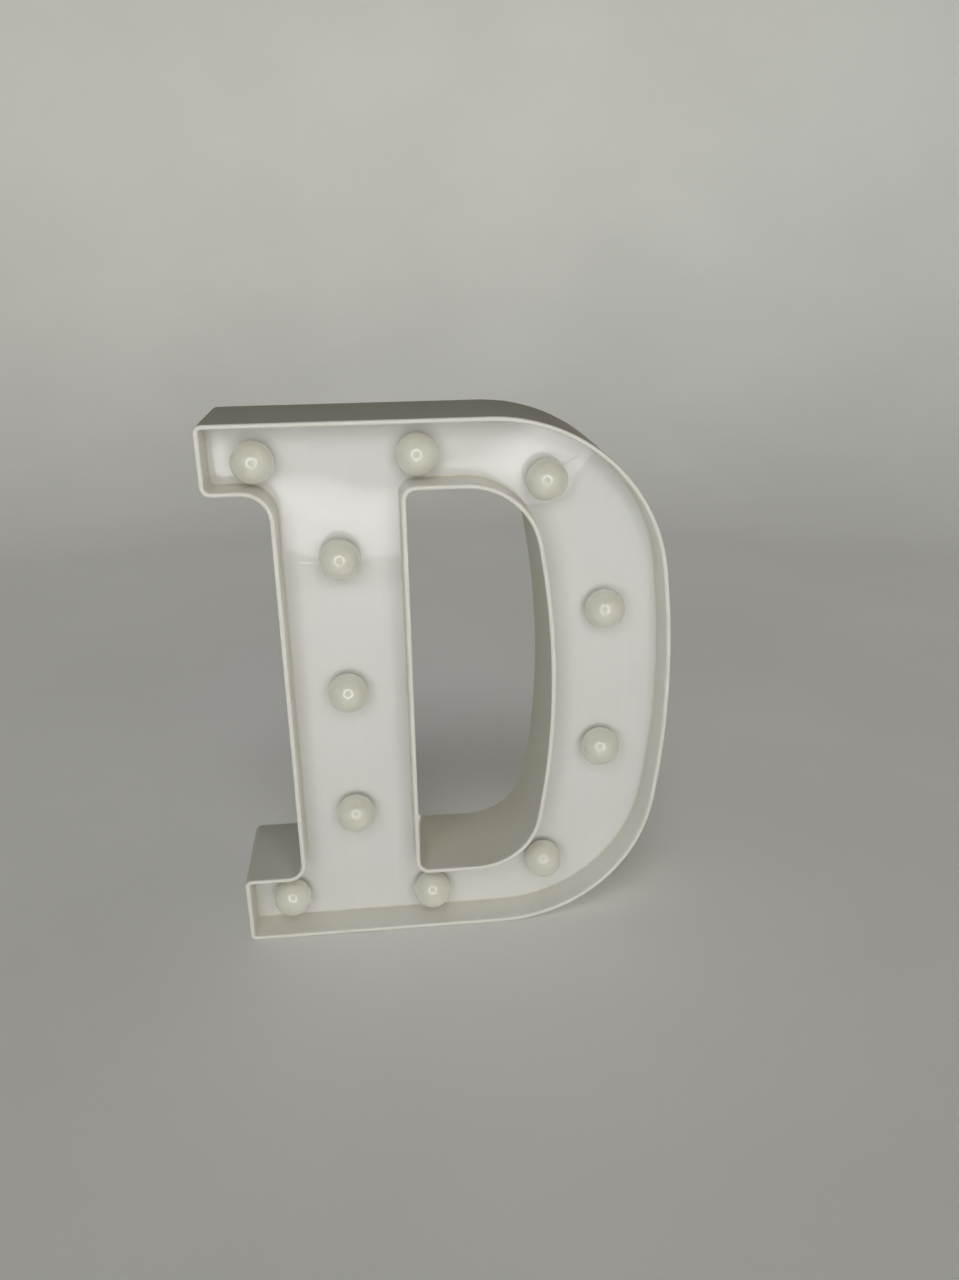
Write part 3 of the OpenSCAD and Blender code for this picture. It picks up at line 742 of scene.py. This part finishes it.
# ---------------------------------------------------------------- bulb caps
def bulb_profile():
    """Outside from the front of the ball to the neck's end, then the hollow, as runs with their own normals (millimetres)."""
    runs = []
    c, r = 9.0, 8.0
    end = math.acos(-0.74)
    ball = []
    for i in range(41):
        a = end * i / 40
        ball.append((r * math.sin(a), c - r * math.cos(a), math.sin(a), -math.cos(a)))
    r1, w1 = ball[-1][0], ball[-1][1]
    for i in range(1, 5):
        a = math.pi / 2 * i / 4
        ball.append((r1 - 0.12 * (1 - math.cos(a)) - 0.05 * math.sin(a), w1 + (15.12 - w1) * math.sin(a), math.cos(a) * 0.7, -(-0.7) * math.sin(a) + 0.3))
    runs.append(ball)
    runs.append([(ball[-1][0], 15.12, 0, 1), (4.1, 15.12, 0, 1)])
    runs.append([(4.1, 15.12, 1, 0), (4.1, 17.1, 1, 0), (4.3, 17.2, 0.7, -0.7), (4.5, 17.35, 0.9, -0.3), (4.55, 17.7, 1, 0), (4.5, 18.1, 0.9, 0.3),
                 (4.3, 18.6, 0.8, 0.5), (4.1, 18.9, 1, 0.1), (4.1, 19.4, 1, 0), (3.95, 19.58, 0.6, 0.7), (3.8, 19.6, 0, 1), (2.8, 19.6, 0, 1)])
    hollow = []
    ri = 6.8
    a0 = math.pi - math.asin(2.6 / ri)
    for i in range(25):
        a = a0 * (1 - i / 24)
        hollow.append((ri * math.sin(a) if i < 24 else 0.0, c - ri * math.cos(a), -math.sin(a), math.cos(a)))
    runs.append([(2.8, 19.6, -0.5, 0.8), (2.6, 19.4, -1, 0), hollow[0][:2] + (-1, 0)])
    runs.append(hollow)
    return runs


def build_bulb(name, u, v):
    b = Builder()
    at = P(u, 0, v)
    for run in bulb_profile():
        run = [(r * 0.001 if r > 1e-6 else 0.0, h * 0.001, nr, nh) for r, h, nr, nh in run]
        lathe(b, at, (0, 1, 0), run, 64)
    return b.object("bulb_ball_" + name, [M_BULB])


for name, (u, v) in BULBS.items():
    finish_piece(build_bulb(name, u, v), "letter", "bulb_ivory", "bulb_cap_" + name)


# ---------------------------------------------------------------- softened copies of the back's mouldings and hardware
def soften(name, node, width, mat, segments=2, angle=30.0):
    """A copy of a node with its flat faces joined and its edges rounded."""
    me = nodes[node].data.copy()
    me.name = name
    bm = bmesh.new()
    bm.from_mesh(me)
    bmesh.ops.remove_doubles(bm, verts=bm.verts, dist=2e-6)
    bmesh.ops.dissolve_limit(bm, angle_limit=math.radians(0.6), verts=bm.verts, edges=bm.edges)
    sharp = [e for e in bm.edges if len(e.link_faces) == 2 and e.calc_face_angle(0.0) > math.radians(angle)]
    bmesh.ops.bevel(bm, geom=sharp, offset=width, offset_type="OFFSET", segments=segments, profile=0.5, affect="EDGES", clamp_overlap=True)
    bmesh.ops.remove_doubles(bm, verts=bm.verts, dist=1e-6)
    bmesh.ops.recalc_face_normals(bm, faces=bm.faces)
    big = [f for f in bm.faces if len(f.verts) > 4]
    bmesh.ops.triangulate(bm, faces=big)
    for f in bm.faces:
        f.smooth = True
        f.material_index = 0
    for e in bm.edges:
        e.smooth = not (len(e.link_faces) == 2 and e.calc_face_angle(0.0) > math.radians(50))
    bm.to_mesh(me)
    bm.free()
    me.materials.clear()
    me.materials.append(mat)
    ob = bpy.data.objects.new(name, me)
    scene.collection.objects.link(ob)
    wn = ob.modifiers.new("even shading", "WEIGHTED_NORMAL")
    wn.keep_sharp = True
    return ob


finish_piece(soften("cover_moulding", "back_cover", 0.00022, M_COVER), "letter", "cover_white", "back_cover")
finish_piece(soften("door_moulding", "battery_door", 0.00022, M_COVER), "door", "cover_white", "battery_door")
finish_piece(soften("cover_screw_set", "cover_screws", 0.00014, M_STEEL), "letter", "steel", "cover_screws")
finish_piece(soften("slider_knob", "switch_slider", 0.00012, M_BLACK), "slider", "switch_black", "switch_slider")
finish_piece(soften("switch_housing", "switch_frame", 0.00010, M_STEEL), "letter", "steel", "switch_frame")
for node in ("contact_positive", "contact_negative", "contact_bridge"):
    finish_piece(soften(node + "_plate", node, 0.00010, M_NICKEL), "letter", "contact_nickel", node)


# ---------------------------------------------------------------- cells and their springs
def build_cell(name, u, v0, up, sleeve):
    """A round cell: crimped sleeve, shoulder, button and base, standing along v."""
    b = Builder()
    mm = 0.001
    at = P(u, 34.9, v0 if up else v0 + 50.4)
    axis = (0, 0, 1 if up else -1)

    def go(points, mat):
        run = []
        for i, (r, h) in enumerate(points):
            p0, p1 = points[max(i - 1, 0)], points[min(i + 1, len(points) - 1)]
            dr, dh = p1[0] - p0[0], p1[1] - p0[1]
            run.append((r * mm, h * mm, dh, -dr))
        lathe(b, at, axis, run, 56, mat)

    go([(0.0, 0.25), (3.9, 0.25)], 1)
    go([(3.9, 0.25), (4.2, 0.1), (4.6, 0.0), (5.4, 0.0), (5.75, 0.12)], 1)
    go([(5.75, 0.12), (6.0, 0.14), (6.65, 0.06), (7.0, 0.2), (7.19, 0.55), (7.22, 1.0), (7.22, 25.0), (7.22, 48.0), (7.17, 48.5), (6.95, 48.95), (6.6, 49.15), (5.9, 49.1)], 0)
    go([(5.9, 49.1), (5.6, 48.9), (4.4, 48.9), (3.4, 49.0)], 1)
    go([(3.4, 49.0), (3.0, 49.02), (2.78, 49.2), (2.72, 49.6), (2.65, 50.15), (2.4, 50.36), (2.0, 50.4), (0.0, 50.4)], 1)
    return b.object(name, [sleeve, M_NICKEL])


lo_l, hi_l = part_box("cell_left")
lo_r, hi_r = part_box("cell_right")
finish_piece(build_cell("aa_cell_left", 41.4, lo_l.z * 1000, True,
                        make_sleeve("cell_sleeve_left", (0.035, 0.075, 0.085), (0.55, 0.56, 0.55), lo_l.z, hi_l.z, False)),
             "letter", "cell_sleeve", "cell_left")
finish_piece(build_cell("aa_cell_right", 56.6, lo_r.z * 1000, False,
                        make_sleeve("cell_sleeve_right", (0.035, 0.075, 0.085), (0.55, 0.56, 0.55), lo_r.z, hi_r.z, True)),
             "letter", "cell_sleeve", "cell_right")


def build_spring(name, u, v0, v1):
    """Conical coil of round wire."""
    b = Builder()
    n, sides, rw = 220, 12, 0.4
    rings = []
    for i in range(n + 1):
        t = i / n
        a, r = 8 * math.pi * t, 5.0 - 1.8 * t
        c = P(u + r * math.cos(a), 34.9 + r * math.sin(a), v0 + (v1 - v0) * t)
        da, dr, dv = 8 * math.pi, -1.8, v1 - v0
        tan = Vector((-r * math.sin(a) * da + dr * math.cos(a), r * math.cos(a) * da + dr * math.sin(a), dv)).normalized()
        x = tan.cross(Vector((0, 0, 1))).normalized()
        y = x.cross(tan)
        ids, ns = [], []
        for k in range(sides):
            q = 2 * math.pi * k / sides
            d = x * math.cos(q) + y * math.sin(q)
            ids.append(b.vert(c + d * rw * 0.001))
            ns.append(d)
        rings.append((ids, ns, tan))
    for (a, na, _), (c, nc, _) in zip(rings, rings[1:]):
        b.strip(a, c, na, nc)
    for (ids, _, tan), s in ((rings[0], -1), (rings[-1], 1)):
        b.face(ids, [tan * s] * sides)
    return b.object(name, [M_NICKEL])


finish_piece(build_spring("coil_bridge", 41.4, 59.85, 63.95), "letter", "contact_nickel", "spring_bridge")
finish_piece(build_spring("coil_negative", 56.6, 116.15, 112.05), "letter", "contact_nickel", "spring_negative")


# ---------------------------------------------------------------- the other CAD nodes keep their shape
def paint(node, mat):
    ob = nodes[node]
    if not ob.material_slots:
        ob.data.materials.append(mat)
    for s in ob.material_slots:
        s.material = mat


for name in BULBS:
    paint("led_" + name, M_EPOXY)
for node, mat in (("wire_positive", M_RED), ("wire_battery", M_RED), ("wire_switch", M_RED), ("wire_negative", M_DARK),
                  ("series_resistor", M_RESISTOR), ("switch_base", M_PHENOLIC), ("switch_terminals", M_BRASS),
                  ("switch_wiper", M_BRASS), ("switch_screws", M_STEEL)):
    paint(node, mat)

# ---------------------------------------------------------------- floor
def make_stage(name, lift):
    """Plain pale paper with a slight mottle; the sweep glows a little with height, so it stays pale all round."""
    s = Shader(name)
    base = s.mix(s.range(s.noise(5, 4), 0.35, 0.65), (0.745, 0.742, 0.728), (0.785, 0.782, 0.768))
    s.set(Base_Color=base, Roughness=s.range(s.noise(60, 4), 0.3, 0.7, 0.8, 0.95))
    if lift:
        s.set(Emission_Color=(1.0, 0.99, 0.965, 1.0), Emission_Strength=s.range(s.axis(2), 0.0, 0.55, 0.03, lift, True))
    return s.mat


M_FLOOR, M_SWEEP = make_stage("floor_pale", 0.0), make_stage("sweep_pale", 0.09)
# a floor that runs under and past the letter and bounces light, and the paper sweep that is seen: flat, then up all round
SWEEP = [(0.0, 0.0), (0.2, 0.0), (0.4, 0.0), (0.55, 0.0)]
SWEEP += [(0.65 + 0.75 * math.sin(math.pi / 2 * i / 24), 0.75 * (1 - math.cos(math.pi / 2 * i / 24))) for i in range(25)] + [(1.4, 3.0)]


def stage_ring(name, prof, low, mat):
    b = Builder()
    rings = []
    for i, (r, z) in enumerate(prof):
        p0, p1 = prof[max(i - 1, 0)], prof[min(i + 1, len(prof) - 1)]
        n = Vector((-(p1[1] - p0[1]), p1[0] - p0[0])).normalized()
        ids, ns = [], []
        for k in range(96 if r > 0 else 1):
            a = 2 * math.pi * k / 96
            ids.append(b.vert((r * math.cos(a), r * math.sin(a), z + low)))
            ns.append(Vector((n.x * math.cos(a), n.x * math.sin(a), n.y)))
        rings.append((ids, ns))
    for (a, na), (c, nc) in zip(rings, rings[1:]):
        if len(a) == 1:
            for k in range(96):
                b.face([a[0], c[k], c[(k + 1) % 96]], [na[0], nc[k], nc[(k + 1) % 96]])
        else:
            b.strip(a, c, na, nc)
    ob = b.object(name, [mat])
    return ob


floor = stage_ring("floor", [(0.0, 0.0), (0.2, 0.0), (0.65, 0.0), (4.0, 0.0)], -0.0003, M_FLOOR)
floor.visible_camera = False
paper = stage_ring("paper_sweep", SWEEP, -0.0002, M_SWEEP)
paper.visible_diffuse = paper.visible_glossy = paper.visible_shadow = paper.visible_transmission = False

# ---------------------------------------------------------------- light: a ring lamp round the camera, soft fill from the room
RING_TINT = (1.0, 0.99, 1.0)
ring_at = facing(CAM_RIGHT, CAM_UP, -CAM_FORWARD, CAM_AT + CAM_RIGHT * 0.003 - CAM_UP * 0.0466)


def ring_lamp(name, inner, outer, bands, glow, light):
    """A flat ring round the camera, in bands; glow is how bright it is from the inner edge to the outer edge."""
    rv, rf, rm = [], [], []
    for k in range(bands + 1):
        r = inner + (outer - inner) * k / bands
        for i in range(96):
            a = 2 * math.pi * i / 96
            rv.append(ring_at @ Vector((r * math.cos(a), r * math.sin(a), 0.0)))
            if k < bands:
                j = (i + 1) % 96
                rf.append((96 * k + j, 96 * k + 96 + j, 96 * k + 96 + i, 96 * k + i))
                rm.append(k)
    me = bpy.data.meshes.new(name)
    me.from_pydata([tuple(p) for p in rv], [], rf)
    for k in range(bands):
        x = (k + 0.5) / bands * (len(glow) - 1)
        i = int(x)
        lamp = Shader("%s_glow_%02d" % (name, k))
        lamp.set(Base_Color=(0.8, 0.8, 0.8, 1.0), Emission_Color=RING_TINT + (1.0,),
                 Emission_Strength=light * (glow[i] + (glow[i + 1] - glow[i]) * (x - i)))
        me.materials.append(lamp.mat)
    me.polygons.foreach_set("material_index", rm)
    ob = bpy.data.objects.new(name, me)
    ob.visible_camera = ob.visible_shadow = False
    scene.collection.objects.link(ob)
    return ob


ring_obj = ring_lamp("ring_lamp", 0.148, 0.226, 20, [0.05, 0.55, 0.83, 0.96, 1.0, 0.95, 0.88, 0.80, 0.74, 0.68, 0.62], 4.0)


def softbox(name, at, aim, size, energy, color=(1.0, 1.0, 1.0)):
    li = bpy.data.lights.new(name, "AREA")
    li.shape = "RECTANGLE"
    li.size, li.size_y = size
    li.energy = energy
    li.color = color
    ob = bpy.data.objects.new(name, li)
    ob.location = at
    ob.rotation_mode = "QUATERNION"
    ob.rotation_quaternion = (Vector(aim) - Vector(at)).to_track_quat("-Z", "Y")
    ob.visible_camera = False
    scene.collection.objects.link(ob)
    return ob


# low soft lights for the letter alone, at its sides and behind it, and an overhead and a slanting one for the paper alone
lit, bounce, seen = (bpy.data.collections.new(n) for n in ("letter_lit", "ring_lit", "paper_lit"))
for ob in scene.objects:
    if ob.type == "MESH":
        (seen if ob is paper else bounce).objects.link(ob)
        if ob not in (floor, paper, ring_obj):
            lit.objects.link(ob)
ring_obj.light_linking.receiver_collection = bounce
for name, at, wide, energy in (
    ("side_right", (1.2, -0.1, -0.16), 0.3, 2.2), ("side_left", (-1.2, 0.0, -0.16), 0.2, 1.6), ("back", (0.55, 1.12, -0.16), 0.8, 11.0),
):
    box = softbox(name, at, (0.0, 0.0, 0.12), (wide, 0.3), energy)
    box.light_linking.receiver_collection = box.light_linking.blocker_collection = lit
softbox("overhead", (0.0, 0.2, 1.8), (0.0, 0.2, 0.0), (2.4, 2.4), 3.1).light_linking.receiver_collection = seen
slant = bpy.data.lights.new("slant", "SUN")
slant.energy, slant.angle = 0.60, math.radians(24)
slant_obj = bpy.data.objects.new("slant", slant)
slant_obj.rotation_mode = "QUATERNION"
slant_obj.rotation_quaternion = Vector((0.07, 0.52, -0.76)).to_track_quat("-Z", "Y")
slant_obj.light_linking.receiver_collection = seen
scene.collection.objects.link(slant_obj)

world = bpy.data.worlds.new("room")
scene.world = world
world.use_nodes = True
wt = world.node_tree
bg = wt.nodes["Background"]
look = wt.nodes.new("ShaderNodeTexCoord").outputs["Generated"]


def world_node(kind, **props):
    n = wt.nodes.new(kind)
    for k, v in props.items():
        setattr(n, k, v)
    return n


# soft patches of light round the room: direction, where the patch ends, colour
ROOM = [
    ((-0.10, -0.98, 0.15), 0.55, (0.72, 0.72, 0.54)),
    ((-0.75, -0.62, 0.20), 0.50, (0.13, 0.15, 0.23)),
    ((0.75, -0.62, 0.20), 0.50, (0.29, 0.26, 0.24)),
    ((-0.97, 0.15, 0.20), 0.40, (0.07, 0.07, 0.04)),
    ((0.0, 0.97, 0.20), 0.30, (0.05, 0.04, 0.02)),
]
total = None
for toward, edge, colour in ROOM:
    dot = world_node("ShaderNodeVectorMath", operation="DOT_PRODUCT")
    wt.links.new(look, dot.inputs[0])
    dot.inputs[1].default_value = Vector(toward).normalized()
    fade = world_node("ShaderNodeMapRange", interpolation_type="SMOOTHSTEP")
    wt.links.new(dot.outputs["Value"], fade.inputs["Value"])
    fade.inputs["From Min"].default_value = edge
    patch = world_node("ShaderNodeVectorMath", operation="SCALE")
    patch.inputs[0].default_value = colour
    wt.links.new(fade.outputs["Result"], patch.inputs["Scale"])
    if total is None:
        total = patch.outputs[0]
    else:
        add = world_node("ShaderNodeVectorMath", operation="ADD")
        wt.links.new(total, add.inputs[0])
        wt.links.new(patch.outputs[0], add.inputs[1])
        total = add.outputs[0]
wt.links.new(total, bg.inputs["Color"])
bg.inputs["Strength"].default_value = 1.0
